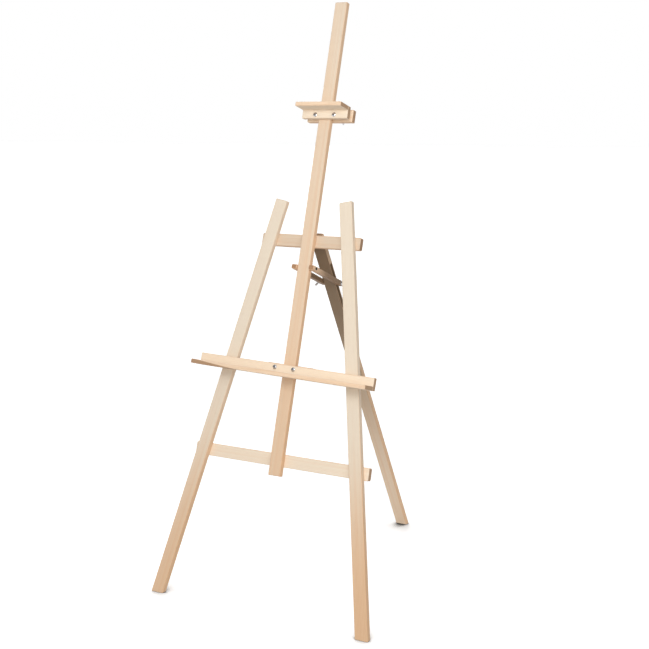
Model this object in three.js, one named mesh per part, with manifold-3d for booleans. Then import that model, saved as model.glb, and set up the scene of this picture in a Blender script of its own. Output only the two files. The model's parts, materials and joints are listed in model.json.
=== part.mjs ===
// Wooden artist easel: two splayed front legs and a mast on two crossbars, a canvas tray and a top
// clamp that slide on the mast, and a rear leg on a hinge, held at its angle by two brace strips.
// Millimetres, +Z up, the front faces -Y, and the feet stand on z = 0.
import * as THREE from 'three';
import { mergeVertices } from 'three/addons/utils/BufferGeometryUtils.js';
import Module from 'manifold-3d';

const wasm = await Module();
wasm.setup();

// ---- Driving dimensions, in millimetres and degrees ----
const GAP = 0.3; // air between two pieces that touch
const EDGE = 1.6; // rounding of a batten's long edges and ends
const LEAN = 16; // the front frame leans back from upright
const BATTEN = { width: 38, thickness: 16 }; // legs and mast
const CROSSBAR_HEIGHT = 35;

// The front frame has its own axes: x to the right, y to the back, z up along the mast, with y = 0 on
// the back faces of the front legs and the mast.
const MAST = { bottom: 375, top: 1715 };
const LEG = { footX: 330, topX: 103, topZ: 1143 };
const UPPER_BAR = { z: 1031, halfLength: 159 };
const LOWER_BAR = { z: 418, halfLength: 280 };

// The tray and the top clamp are the same bolted board, one with its lip below and one above.
const HOLDER = { height: 35, boardThickness: 14, lipThickness: 12, boltX: 30, boltFromLip: 24.5 };
const BACK_BAR = { height: 35, halfLength: 73, inset: 2 };
const TRAY = { z: 645, halfLength: 281, lipDepth: 45, shiftX: -8, tilt: 1.6, lipScrews: [-200, 0, 200] };
const CLAMP = { z: 1409.5, halfLength: 73, lipDepth: 44, shiftX: 6.8, tilt: 0, lipScrews: [-52, 52] };

const HINGE = { pinZ: 1047, offset: 4.5, halfWidth: 19, leafHeight: 30, leafThickness: 2 };
const HINGE_KNUCKLE = { radius: 3.5, pinRadius: 1.5, middleHalf: 6.2 };
const REAR_LEG_OPENING = 45.1; // between the front frame and the rear leg
const SLOT = { top: 98, bottom: 252, width: 9.6 };

const STRIP = { thickness: 15, height: 13, boltReach: 153, overhang: 16, cornerRadius: 4.5, bevel: 1 };
const STRIP_PIVOT = { y: -6, z: 954 };
const REAR_LEG_BLANK = 1250; // from the hinge pin to past the ground, where the leg is cut level
const STRIP_SIDE_GAP = 1.3; // between the mast's edge and a strip, filled by a washer

const CLAMP_BOLT = { radius: 3, headRadius: 6.4, headHeight: 3.4 };
const BRACE_BOLT = { radius: 2.5, headRadius: 5.5, headHeight: 3 };
const WASHER_THICKNESS = 1.4;
const CLAMP_WASHER_RADIUS = 6.5;
const BRACE_WASHER_RADIUS = 6.5;
const PIVOT_WASHER = { radius: 6, clearance: 0.2 };
const NUT_BODY = 8; // height of a wing nut's hub
const NUT_HUB = { seatRadius: 7, topRadius: 5 };
const NUT_SPAN = 14; // from a wing nut's axis to the tip of a wing
const WING = { thickness: 2.2, tipRadius: 3.4, tipHeight: 10.6 };
const BOLT_END = 3; // thread past the wing nut's hub
const SCREW = { radius: 2, headRadius: 4, headHeight: 2.3, tip: 3 };
const BAR_SCREW_STEP = { x: 8, z: 8, mastZ: 9.5 }; // from the middle of a crossing to its screws
const HINGE_SCREW = { radius: 1.5, headRadius: 3, headHeight: 1.6, tip: 2.5 };
const HINGE_SCREW_PLACES = [[-12.5, -12], [12.5, -12]]; // x, and the height from the pin's axis
const CROSSBAR_SCREW_LENGTH = 27;
const LIP_SCREW_LENGTH = 32;
const PIVOT_SCREW_LENGTH = 32;
const HINGE_SCREW_LENGTH = 12;

const ROUND_STEPS = 16; // facets round a bolt, washer or nut
const SCREW_STEPS = 10; // facets round a screw and its hole
const CORNER_STEPS = 2; // facets round a batten's edge
const CUT_PAST = 60; // a cutter runs this far past what it cuts

const FRAME_BACK = 0;
const FRAME_FRONT = -BATTEN.thickness;
const BAR_FRONT = FRAME_BACK + GAP; // the crossbars lie against the backs of the legs
const BAR_BACK = BAR_FRONT + BATTEN.thickness;
const PIN_Y = BAR_BACK + HINGE.offset;
const LEG_LENGTH = Math.hypot(LEG.footX - LEG.topX, LEG.topZ);
const SPLAY = Math.atan2(LEG.footX - LEG.topX, LEG.topZ);
const X_AXIS = new THREE.Vector3(1, 0, 0);
const radians = THREE.MathUtils.degToRad;

const wood = { color: 0xe6cba8, roughness: 0.62, metalness: 0 };
const paleWood = { color: 0xefdcc0, roughness: 0.6, metalness: 0 };
const steel = { color: 0xb9bcc0, roughness: 0.3, metalness: 1 };

// ---- Solids: joining and cutting ----

function toSolid(geometry) {
  const bare = geometry.clone();
  bare.deleteAttribute('normal');
  bare.deleteAttribute('uv');
  const merged = mergeVertices(bare, 1e-4);
  return new wasm.Manifold(new wasm.Mesh({
    numProp: 3,
    vertProperties: new Float32Array(merged.attributes.position.array),
    triVerts: new Uint32Array(merged.index.array),
  }));
}

function toGeometry(solid) {
  const { vertProperties, triVerts } = solid.getMesh();
  const geometry = new THREE.BufferGeometry();
  geometry.setAttribute('position', new THREE.BufferAttribute(vertProperties, 3));
  geometry.setIndex(new THREE.BufferAttribute(triVerts, 1));
  geometry.computeVertexNormals();
  return geometry;
}

function cut(geometry, cutters) {
  return toGeometry(cutters.reduce((solid, cutter) => solid.subtract(toSolid(cutter)), toSolid(geometry)));
}

function join(geometries) {
  return toGeometry(geometries.map(toSolid).reduce((all, next) => all.add(next)));
}

// ---- Simple shapes ----

// A bar along +Z from z = 0, centred on X and Y, with its long edges and its ends rounded.
function batten(width, thickness, length, edge = EDGE) {
  const [w, t] = [width / 2 - edge, thickness / 2 - edge];
  const outline = new THREE.Shape();
  outline.absarc(w - edge, t - edge, edge, 0, Math.PI / 2);
  outline.absarc(-w + edge, t - edge, edge, Math.PI / 2, Math.PI);
  outline.absarc(-w + edge, -t + edge, edge, Math.PI, 1.5 * Math.PI);
  outline.absarc(w - edge, -t + edge, edge, 1.5 * Math.PI, 2 * Math.PI);
  outline.closePath();
  const bar = new THREE.ExtrudeGeometry(outline, {
    depth: length - 2 * edge,
    curveSegments: CORNER_STEPS,
    bevelThickness: edge,
    bevelSize: edge,
    bevelSegments: 1,
  });
  return bar.translate(0, 0, edge);
}

// The same bar laid along X, centred on x = 0, with its bottom on z = 0 and its front on y = 0.
function board(halfLength, thickness, height) {
  const bar = batten(height, thickness, 2 * halfLength).rotateY(Math.PI / 2);
  return bar.translate(-halfLength, thickness / 2, height / 2);
}

// A cylinder along Y, to be cut out as a round hole.
function holeAlongY(x, z, radius, from, to, steps = SCREW_STEPS) {
  const hole = new THREE.CylinderGeometry(radius, radius, to - from, steps);
  return hole.translate(x, (from + to) / 2, z);
}

// A cylinder on the X axis.
function rollAlongX(radius, from, to, steps) {
  const roll = new THREE.CylinderGeometry(radius, radius, to - from, steps).rotateZ(Math.PI / 2);
  return roll.translate((from + to) / 2, 0, 0);
}

function holeAlongX(y, z, radius, from, to) {
  return rollAlongX(radius, from, to, SCREW_STEPS).translate(0, y, z);
}

function lathe(profile, steps) {
  return new THREE.LatheGeometry(profile.map(([r, y]) => new THREE.Vector2(r, y)), steps);
}

// A countersunk wood screw along +Y: its flat head ends on y = 0, and its point is at y = length.
function woodScrew({ radius, headRadius, headHeight, tip }, length) {
  const shank = [[radius, headHeight], [radius, length - tip], [0, length]];
  return lathe([[0, 0], [headRadius, 0], ...shank], SCREW_STEPS);
}

// The hole for such a screw, wider by the gap all round.
function screwHole({ radius, headRadius, headHeight }, length) {
  const past = 1;
  return lathe([
    [0, -past], [headRadius + GAP, -past], [headRadius + GAP, 0], [radius + GAP, headHeight + GAP],
    [radius + GAP, length + GAP], [0, length + GAP],
  ], SCREW_STEPS);
}

// A bolt along +Y with a domed head on the -Y side, its seat on y = 0.
function domedBolt({ radius, headRadius, headHeight }, length) {
  const rim = 0.8;
  const chamfer = 0.6;
  const domeSteps = 5;
  const dome = [[0, -headHeight]];
  for (let step = 1; step <= domeSteps; step += 1) {
    const angle = (step / domeSteps) * (Math.PI / 2);
    dome.push([headRadius * Math.sin(angle), -rim - (headHeight - rim) * Math.cos(angle)]);
  }
  const shank = [[headRadius, 0], [radius, 0], [radius, length - chamfer], [radius - chamfer, length]];
  return lathe([...dome, ...shank, [0, length]], ROUND_STEPS);
}

function washer(radius, holeRadius, thickness = WASHER_THICKNESS) {
  const seat = [[holeRadius, 0], [radius, 0]];
  const top = [[radius, thickness], [holeRadius, thickness]];
  return lathe([...seat, ...top, [holeRadius, 0]], ROUND_STEPS);
}

// A wing nut on +Y with its seat on y = 0 and its two wings along Z.
function wingNut(holeRadius) {
  const { seatRadius, topRadius } = NUT_HUB;
  const { thickness, tipRadius, tipHeight } = WING;
  const hub = lathe([[0, 0], [seatRadius, 0], [topRadius, NUT_BODY], [0, NUT_BODY]], ROUND_STEPS);
  // A wing's outline: x is out from the axis and y is up the hub. It starts and ends inside the hub.
  const ear = new THREE.Shape();
  ear.moveTo(3.5, 1.5);
  ear.bezierCurveTo(8, 2.5, 11, 4, NUT_SPAN, 8);
  ear.absarc(NUT_SPAN - tipRadius, tipHeight, tipRadius, -0.2, 2.4);
  ear.lineTo(4, 6.5);
  ear.closePath();
  const wing = new THREE.ExtrudeGeometry(ear, { depth: thickness, bevelEnabled: false, curveSegments: 6 });
  wing.translate(0, 0, -thickness / 2).rotateY(-Math.PI / 2);
  const other = wing.clone().rotateY(Math.PI);
  const bore = holeAlongY(0, 0, holeRadius, -CUT_PAST, CUT_PAST, ROUND_STEPS);
  return cut(join([hub, wing, other]), [bore]);
}

// ---- The scene graph ----

const easel = new THREE.Group();
const frontFrame = new THREE.Group();
frontFrame.rotation.x = -radians(LEAN);
easel.add(frontFrame);

function piece(name, geometry, finish, parent) {
  const mesh = new THREE.Mesh(geometry, new THREE.MeshStandardMaterial(finish));
  mesh.name = name;
  parent.add(mesh);
  return mesh;
}

function groupAt(parent, x, y, z) {
  const group = new THREE.Group();
  group.position.set(x, y, z);
  parent.add(group);
  return group;
}

// The ground below z = 0, as it stands in the axes of a group, round the point that lies the given
// distance down the group's own z axis.
function groundIn(group, down = 0) {
  easel.updateMatrixWorld(true);
  const side = 800;
  const foot = new THREE.Vector3(0, 0, -down).applyMatrix4(group.matrixWorld);
  const ground = new THREE.BoxGeometry(side, side, side).translate(foot.x, foot.y, -side / 2);
  return ground.applyMatrix4(group.matrixWorld.clone().invert());
}

// ---- Front frame: legs, mast and crossbars ----

// Two screws join a bar to each upright behind which it passes, one to each side of the upright's axis.
function legXAt(z) {
  return LEG.footX + (LEG.topX - LEG.footX) * (z / LEG.topZ);
}

function crossings(bar) {
  const step = BAR_SCREW_STEP;
  const x = legXAt(bar.z);
  return [
    { upright: 'left_leg', x: -x - step.x, z: bar.z + step.z },
    { upright: 'left_leg', x: -x + step.x, z: bar.z - step.z },
    { upright: 'mast', x: 0, z: bar.z + step.mastZ },
    { upright: 'mast', x: 0, z: bar.z - step.mastZ },
    { upright: 'right_leg', x: x - step.x, z: bar.z - step.z },
    { upright: 'right_leg', x: x + step.x, z: bar.z + step.z },
  ];
}

const barScrews = [UPPER_BAR, LOWER_BAR].flatMap(crossings);

// Holes for the bar screws, in the front frame's axes. They enter from the back, so they point to -Y.
function barScrewHoles(screws) {
  return screws.map(({ x, z }) => screwHole(SCREW, CROSSBAR_SCREW_LENGTH)
    .rotateX(Math.PI).translate(x, BAR_BACK, z));
}

function frontLeg(name, side) {
  const leg = groupAt(frontFrame, side * LEG.footX, 0, 0);
  leg.rotation.y = -side * SPLAY;
  // The bar runs past the ground, where it is cut level.
  const bar = batten(BATTEN.width, BATTEN.thickness, LEG_LENGTH + CUT_PAST)
    .translate(0, FRAME_FRONT / 2, -CUT_PAST);
  leg.updateMatrix();
  const toLeg = leg.matrix.clone().invert();
  const holes = barScrewHoles(barScrews.filter(({ upright }) => upright === name))
    .map((hole) => hole.applyMatrix4(toLeg));
  piece(name, cut(bar, [groundIn(leg), ...holes]), wood, leg);
}

function mast() {
  const bar = batten(BATTEN.width, BATTEN.thickness, MAST.top - MAST.bottom)
    .translate(0, FRAME_FRONT / 2, MAST.bottom);
  const point = BATTEN.width / 2 + STRIP_SIDE_GAP + STRIP.thickness - PIVOT_SCREW_LENGTH;
  const pivotHoles = [[point, CUT_PAST], [-CUT_PAST, -point]]
    .map(([from, to]) => holeAlongX(STRIP_PIVOT.y, STRIP_PIVOT.z, SCREW.radius + GAP, from, to));
  const holes = barScrewHoles(barScrews.filter(({ upright }) => upright === 'mast'));
  piece('mast', cut(bar, [...holes, ...pivotHoles]), paleWood, frontFrame);
}

function crossbar(name, bar) {
  const bottom = bar.z - CROSSBAR_HEIGHT / 2;
  const plank = board(bar.halfLength, BATTEN.thickness, CROSSBAR_HEIGHT).translate(0, BAR_FRONT, bottom);
  const holes = barScrewHoles(barScrews.filter(({ z }) => Math.abs(z - bar.z) < CROSSBAR_HEIGHT / 2));
  const leafFace = BAR_BACK + GAP + HINGE.leafThickness;
  const hingeScrews = bar === UPPER_BAR ? HINGE_SCREW_PLACES : [];
  const hingeHoles = hingeScrews.map(([x, z]) => screwHole(HINGE_SCREW, HINGE_SCREW_LENGTH)
    .rotateX(Math.PI).translate(x, leafFace, HINGE.pinZ + z));
  piece(name, cut(plank, [...holes, ...hingeHoles]), wood, frontFrame);
}

function crossbarScrews() {
  const count = {};
  for (const [bar, label] of [[UPPER_BAR, 'upper'], [LOWER_BAR, 'lower']]) {
    for (const { upright, x, z } of crossings(bar)) {
      const key = `${label}_bar_${upright}_screw`;
      count[key] = (count[key] ?? 0) + 1;
      const place = groupAt(frontFrame, x, BAR_BACK, z);
      place.rotation.x = Math.PI;
      piece(`${key}_${count[key]}`, woodScrew(SCREW, CROSSBAR_SCREW_LENGTH), steel, place);
    }
  }
}

// ---- Hinge and rear leg ----

const rearLegGroup = groupAt(frontFrame, 0, PIN_Y, HINGE.pinZ);
rearLegGroup.rotation.x = radians(REAR_LEG_OPENING);
const SLOT_Y = HINGE.offset + BATTEN.thickness / 2; // the slot runs down the middle of the leg's side

// A leaf and its knuckles round the pin on the X axis. The leaf hangs down from the pin, on the side of
// y that the sign says, and its screws enter from the pin's side of it.
function hingeLeaf(side, knuckles) {
  const { halfWidth, leafHeight, leafThickness, offset } = HINGE;
  const { radius, pinRadius } = HINGE_KNUCKLE;
  const near = offset - GAP - leafThickness;
  const plate = new THREE.BoxGeometry(2 * halfWidth, leafThickness, leafHeight)
    .translate(0, side * (near + leafThickness / 2), -leafHeight / 2);
  const rolls = knuckles.map(([from, to]) => rollAlongX(radius, from, to, ROUND_STEPS));
  const clear = 2 * (radius + 2 * GAP);
  const others = gapsBetween(knuckles, halfWidth)
    .map(([from, to]) => new THREE.BoxGeometry(to - from, CUT_PAST, clear).translate((from + to) / 2, 0, 0));
  const pinHole = rollAlongX(pinRadius + GAP, -CUT_PAST, CUT_PAST, SCREW_STEPS);
  const screwHoles = HINGE_SCREW_PLACES.map(([x, z]) => screwHole(HINGE_SCREW, HINGE_SCREW_LENGTH)
    .rotateX(side > 0 ? 0 : Math.PI).translate(x, side * near, z));
  return cut(join([plate, ...rolls]), [...others, pinHole, ...screwHoles]);
}

// The stretches of a hinge's width that a leaf leaves to the other leaf's knuckles.
function gapsBetween(knuckles, halfWidth) {
  const ends = [-halfWidth - 1, ...knuckles.flat(), halfWidth + 1];
  const gaps = [];
  for (let i = 0; i < ends.length; i += 2) {
    const [from, to] = [ends[i], ends[i + 1]];
    if (to - from > 2) gaps.push([from, to]); // a shorter one is only the overrun at an end
  }
  return gaps;
}

function hinge() {
  const { halfWidth, offset, leafThickness } = HINGE;
  const { middleHalf, pinRadius } = HINGE_KNUCKLE;
  const onFrame = groupAt(frontFrame, 0, PIN_Y, HINGE.pinZ);
  const outer = middleHalf + GAP;
  piece('hinge_frame_leaf', hingeLeaf(-1, [[-halfWidth, -outer], [outer, halfWidth]]), steel, onFrame);
  piece('hinge_leg_leaf', hingeLeaf(1, [[-middleHalf, middleHalf]]), steel, rearLegGroup);
  piece('hinge_pin', rollAlongX(pinRadius, -halfWidth, halfWidth, SCREW_STEPS), steel, onFrame);
  const near = offset - GAP - leafThickness;
  HINGE_SCREW_PLACES.forEach(([x, z], i) => {
    const side = ['left', 'right'][i];
    const intoBar = groupAt(onFrame, x, -near, z);
    intoBar.rotation.x = Math.PI;
    piece(`hinge_frame_screw_${side}`, woodScrew(HINGE_SCREW, HINGE_SCREW_LENGTH), steel, intoBar);
    const intoLeg = groupAt(rearLegGroup, x, near, z);
    piece(`hinge_leg_screw_${side}`, woodScrew(HINGE_SCREW, HINGE_SCREW_LENGTH), steel, intoLeg);
  });
}

function rearLeg() {
  const bar = batten(BATTEN.width, BATTEN.thickness, REAR_LEG_BLANK).translate(0, SLOT_Y, -REAR_LEG_BLANK);
  const [half, from, to] = [SLOT.width / 2, SLOT.top, SLOT.bottom];
  const outline = new THREE.Shape();
  outline.absarc(-from - half, 0, half, -Math.PI / 2, Math.PI / 2);
  outline.absarc(-to + half, 0, half, Math.PI / 2, 1.5 * Math.PI);
  outline.closePath();
  const sawn = { depth: 2 * CUT_PAST, bevelEnabled: false, curveSegments: 8 };
  const slot = new THREE.ExtrudeGeometry(outline, sawn)
    .rotateY(-Math.PI / 2).translate(CUT_PAST, SLOT_Y, 0);
  const holes = HINGE_SCREW_PLACES.map(([x, z]) => screwHole(HINGE_SCREW, HINGE_SCREW_LENGTH)
    .translate(x, HINGE.offset - GAP - HINGE.leafThickness, z));
  piece('rear_leg', cut(bar, [groundIn(rearLegGroup, REAR_LEG_BLANK), slot, ...holes]), wood, rearLegGroup);
}

// ---- Brace: two strips from the mast to a bolt in the rear leg's slot ----

// The bolt lies on the slot's middle line, the strips' reach away from their pivot on the mast.
function braceAngle() {
  const opening = radians(REAR_LEG_OPENING);
  const pivot = new THREE.Vector3(0, STRIP_PIVOT.y - PIN_Y, STRIP_PIVOT.z - HINGE.pinZ);
  const inLeg = pivot.clone().applyAxisAngle(X_AXIS, -opening);
  const along = Math.sqrt(STRIP.boltReach ** 2 - (SLOT_Y - inLeg.y) ** 2);
  const bolt = new THREE.Vector3(0, SLOT_Y, inLeg.z - along).applyAxisAngle(X_AXIS, opening);
  return Math.atan2(bolt.z - pivot.z, bolt.y - pivot.y);
}

function braceStrip(name, side, group) {
  const { thickness, height, boltReach, overhang, cornerRadius, bevel } = STRIP;
  const inner = BATTEN.width / 2 + STRIP_SIDE_GAP;
  const [front, back] = [-overhang, boltReach + overhang];
  const [low, high] = [-height / 2, height / 2];
  const r = cornerRadius;
  const outline = new THREE.Shape();
  outline.absarc(back - r, high - r, r, 0, Math.PI / 2);
  outline.absarc(front + r, high - r, r, Math.PI / 2, Math.PI);
  outline.absarc(front + r, low + r, r, Math.PI, 1.5 * Math.PI);
  outline.absarc(back - r, low + r, r, 1.5 * Math.PI, 2 * Math.PI);
  outline.closePath();
  const strip = new THREE.ExtrudeGeometry(outline, {
    depth: thickness - 2 * bevel, curveSegments: 4,
    bevelThickness: bevel, bevelSize: bevel, bevelOffset: -bevel, bevelSegments: 1,
  });
  // The outline's x is along the strip and its y is up; the thickness is laid along X.
  strip.translate(0, 0, bevel).applyMatrix4(new THREE.Matrix4().set(
    0, 0, 1, side > 0 ? inner : -inner - thickness,
    1, 0, 0, 0,
    0, 1, 0, 0,
    0, 0, 0, 1,
  ));
  const holes = [[0, SCREW.radius + GAP], [boltReach, BRACE_BOLT.radius + GAP]]
    .map(([y, radius]) => holeAlongX(y, 0, radius, -CUT_PAST, CUT_PAST));
  piece(name, cut(strip, holes), wood, group);
}

function brace() {
  const group = groupAt(frontFrame, 0, STRIP_PIVOT.y, STRIP_PIVOT.z);
  group.rotation.x = braceAngle();
  const inner = BATTEN.width / 2 + STRIP_SIDE_GAP;
  const outer = inner + STRIP.thickness;
  braceStrip('left_brace_strip', -1, group);
  braceStrip('right_brace_strip', 1, group);

  // The bolt comes in from the right: local +Y of its pieces is turned to -X.
  const hole = BRACE_BOLT.radius + GAP;
  const fromRight = Math.PI / 2;
  const seat = outer + 2 * GAP + WASHER_THICKNESS;
  const hardware = [
    ['brace_bolt', domedBolt(BRACE_BOLT, 2 * seat + NUT_BODY + BOLT_END), seat],
    ['brace_bolt_washer', washer(BRACE_WASHER_RADIUS, hole), outer + GAP + WASHER_THICKNESS],
    ['brace_nut_washer', washer(BRACE_WASHER_RADIUS, hole), -outer - GAP],
    ['brace_wing_nut', wingNut(hole), -seat],
  ];
  for (const [name, geometry, x] of hardware) {
    const place = groupAt(group, x, STRIP.boltReach, 0);
    place.rotation.z = fromRight;
    piece(name, geometry, steel, place);
  }

  // The pivot screws stay in the mast while the strips turn on them.
  for (const [label, side] of [['left', -1], ['right', 1]]) {
    const place = groupAt(frontFrame, side * (outer + GAP), STRIP_PIVOT.y, STRIP_PIVOT.z);
    place.rotation.z = side > 0 ? fromRight : -fromRight;
    piece(`${label}_pivot_screw`, roundHeadScrew(PIVOT_SCREW_LENGTH), steel, place);
    const ring = groupAt(frontFrame, side * (inner - PIVOT_WASHER.clearance), STRIP_PIVOT.y, STRIP_PIVOT.z);
    ring.rotation.z = side > 0 ? fromRight : -fromRight;
    const thickness = STRIP_SIDE_GAP - 2 * PIVOT_WASHER.clearance;
    const thin = washer(PIVOT_WASHER.radius, SCREW.radius + GAP, thickness);
    piece(`${label}_pivot_washer`, thin, steel, ring);
  }
}

// A round-headed screw along +Y with its head's seat on y = 0.
function roundHeadScrew(length) {
  const { radius, headRadius, tip } = SCREW;
  const height = 2.6;
  return lathe([
    [0, -height], [headRadius * 0.6, -height * 0.85], [headRadius * 0.95, -height * 0.4], [headRadius, 0],
    [radius, 0], [radius, length - tip], [0, length],
  ], SCREW_STEPS);
}

// ---- Tray and top clamp ----

// A board in front of the mast with a lip standing out from it, a bar behind the mast, and two bolts
// with washers and wing nuts that pull them together. up is 1 for the tray, whose lip is at the
// bottom, and -1 for the clamp, whose lip is at the top.
function holder(prefix, lipName, spec, up) {
  const group = groupAt(frontFrame, spec.shiftX, 0, spec.z);
  group.rotation.y = radians(spec.tilt);
  const { height, boardThickness, lipThickness, boltX, boltFromLip } = HOLDER;
  const boardBack = FRAME_FRONT - GAP;
  const boardFront = boardBack - boardThickness;
  const lipBack = boardFront - GAP;
  const low = up > 0 ? 0 : -height;
  const boltZ = up * boltFromLip;
  const lipZ = up * (lipThickness / 2);
  const hole = CLAMP_BOLT.radius + GAP;
  const boltHoles = [-boltX, boltX]
    .map((x) => holeAlongY(x, boltZ, hole, -CUT_PAST, CUT_PAST, ROUND_STEPS));
  const lipHoles = spec.lipScrews.map((x) => screwHole(SCREW, LIP_SCREW_LENGTH)
    .rotateX(Math.PI).translate(x, boardBack, lipZ));

  const face = board(spec.halfLength, boardThickness, height).translate(0, boardFront, low);
  piece(`${prefix}_board`, cut(face, [...boltHoles, ...lipHoles]), paleWood, group);
  const lip = board(spec.halfLength, spec.lipDepth, lipThickness)
    .translate(0, lipBack - spec.lipDepth, lipZ - lipThickness / 2);
  piece(lipName, cut(lip, lipHoles), paleWood, group);
  const barLow = up > 0 ? BACK_BAR.inset : -BACK_BAR.inset - BACK_BAR.height;
  const bar = board(BACK_BAR.halfLength, BATTEN.thickness, BACK_BAR.height).translate(0, BAR_FRONT, barLow);
  piece(`${prefix}_back_bar`, cut(bar, boltHoles), wood, group);

  spec.lipScrews.forEach((x, i) => {
    const place = groupAt(group, x, boardBack, lipZ);
    place.rotation.x = Math.PI;
    piece(`${lipName}_screw_${i + 1}`, woodScrew(SCREW, LIP_SCREW_LENGTH), steel, place);
  });
  const headSeat = boardFront - GAP;
  const washerSeat = BAR_BACK + GAP;
  const nutSeat = washerSeat + WASHER_THICKNESS + GAP;
  const length = nutSeat - headSeat + NUT_BODY + BOLT_END;
  for (const [label, x] of [['left', -boltX], ['right', boltX]]) {
    const hardware = [
      ['bolt', domedBolt(CLAMP_BOLT, length), headSeat],
      ['washer', washer(CLAMP_WASHER_RADIUS, hole), washerSeat],
      ['wing_nut', wingNut(hole), nutSeat],
    ];
    for (const [kind, geometry, y] of hardware) {
      piece(`${prefix}_${label}_${kind}`, geometry, steel, groupAt(group, x, y, boltZ));
    }
  }
}

// ---- Assembly ----

frontLeg('left_leg', -1);
frontLeg('right_leg', 1);
mast();
crossbar('upper_crossbar', UPPER_BAR);
crossbar('lower_crossbar', LOWER_BAR);
crossbarScrews();
hinge();
rearLeg();
brace();
holder('tray', 'tray_ledge', TRAY, 1);
holder('clamp', 'clamp_lip', CLAMP, -1);

// The origin is on the ground, under the middle of the whole easel.
easel.updateMatrixWorld(true);
const bounds = new THREE.Box3().setFromObject(easel, true);
easel.position.set(-(bounds.min.x + bounds.max.x) / 2, -(bounds.min.y + bounds.max.y) / 2, 0);

export default easel;
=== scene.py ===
import json
import math
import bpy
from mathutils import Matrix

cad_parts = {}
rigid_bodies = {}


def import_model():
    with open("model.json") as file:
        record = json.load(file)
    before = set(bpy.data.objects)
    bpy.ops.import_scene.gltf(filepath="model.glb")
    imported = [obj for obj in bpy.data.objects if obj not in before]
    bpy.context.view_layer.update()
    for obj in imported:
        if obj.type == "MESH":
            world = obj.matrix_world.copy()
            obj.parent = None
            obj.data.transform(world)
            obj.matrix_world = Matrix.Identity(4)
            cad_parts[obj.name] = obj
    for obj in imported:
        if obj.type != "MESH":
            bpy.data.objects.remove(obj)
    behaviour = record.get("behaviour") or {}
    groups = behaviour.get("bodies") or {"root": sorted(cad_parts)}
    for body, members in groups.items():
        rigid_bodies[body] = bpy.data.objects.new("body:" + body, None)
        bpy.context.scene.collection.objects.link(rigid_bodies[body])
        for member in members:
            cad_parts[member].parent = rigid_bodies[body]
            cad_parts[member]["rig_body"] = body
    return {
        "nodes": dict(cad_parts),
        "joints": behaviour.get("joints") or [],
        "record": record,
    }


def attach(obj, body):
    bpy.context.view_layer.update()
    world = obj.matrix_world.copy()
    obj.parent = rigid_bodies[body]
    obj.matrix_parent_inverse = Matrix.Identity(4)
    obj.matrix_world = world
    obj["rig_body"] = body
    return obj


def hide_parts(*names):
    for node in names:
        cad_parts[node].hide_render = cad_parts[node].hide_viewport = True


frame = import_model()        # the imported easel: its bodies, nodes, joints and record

import zlib
from typing import NamedTuple

import bmesh
import bpy
import numpy as np
from bpy.props import FloatProperty, FloatVectorProperty, IntProperty, PointerProperty
from mathutils import Matrix

bl_info = {
    "name": "Wooden Artist Easel",
    "version": (1, 0, 0),
    "blender": (4, 5, 0),
    "location": "View3D > Sidebar > Easel",
    "description": "Finishes the easel's wood, bolts, wing nuts, screws and hinge, and sets its studio",
    "category": "Object",
}


# ---- The CAD model and the easel's own directions ----


def unit(vector):
    """The direction of a vector."""
    vector = np.array(vector, float)
    return vector / np.linalg.norm(vector)


def joint(name):
    """The named joint of the easel."""
    return next(j for j in frame["joints"] if j["name"] == name)


def joint_place(name):
    """Where a joint is when the easel is at rest."""
    return np.array(joint(name)["pos_m"])


def node_points(node):
    """The corners of a CAD node at rest, as rows of x, y and z."""
    mesh = frame["nodes"][node].data
    points = np.zeros(3 * len(mesh.vertices))
    mesh.vertices.foreach_get("co", points)
    return points.reshape(-1, 3)


X = np.array([1.0, 0.0, 0.0])
UP = unit(joint("tray_slide")["axis"])      # up the leaning mast
BACK = np.cross(UP, X)                      # square to the mast, away from the canvas
SPLAY = math.radians(11.233)                # a front leg turns out from the mast by this
REAR_LEAN = math.radians(29.1)              # the rear leg stands this far from upright
REAR_UP = np.array([0.0, -math.sin(REAR_LEAN), math.cos(REAR_LEAN)])
REAR_BACK = np.cross(REAR_UP, X)            # square to the rear leg, away from the frame
# Along a brace strip, from its pivot to its bolt
STRIP = unit((joint_place("brace_wing_nut_turn") - joint_place("brace_swing")) * (0, 1, 1))
TRAY_UP = unit(next(m["axis"] for m in frame["record"]["mounts"] if m["name"] == "tray_rest"))
TRAY_ALONG = np.cross(BACK, TRAY_UP)


# ---- Sizes and colours that a maker would change ----


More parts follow.
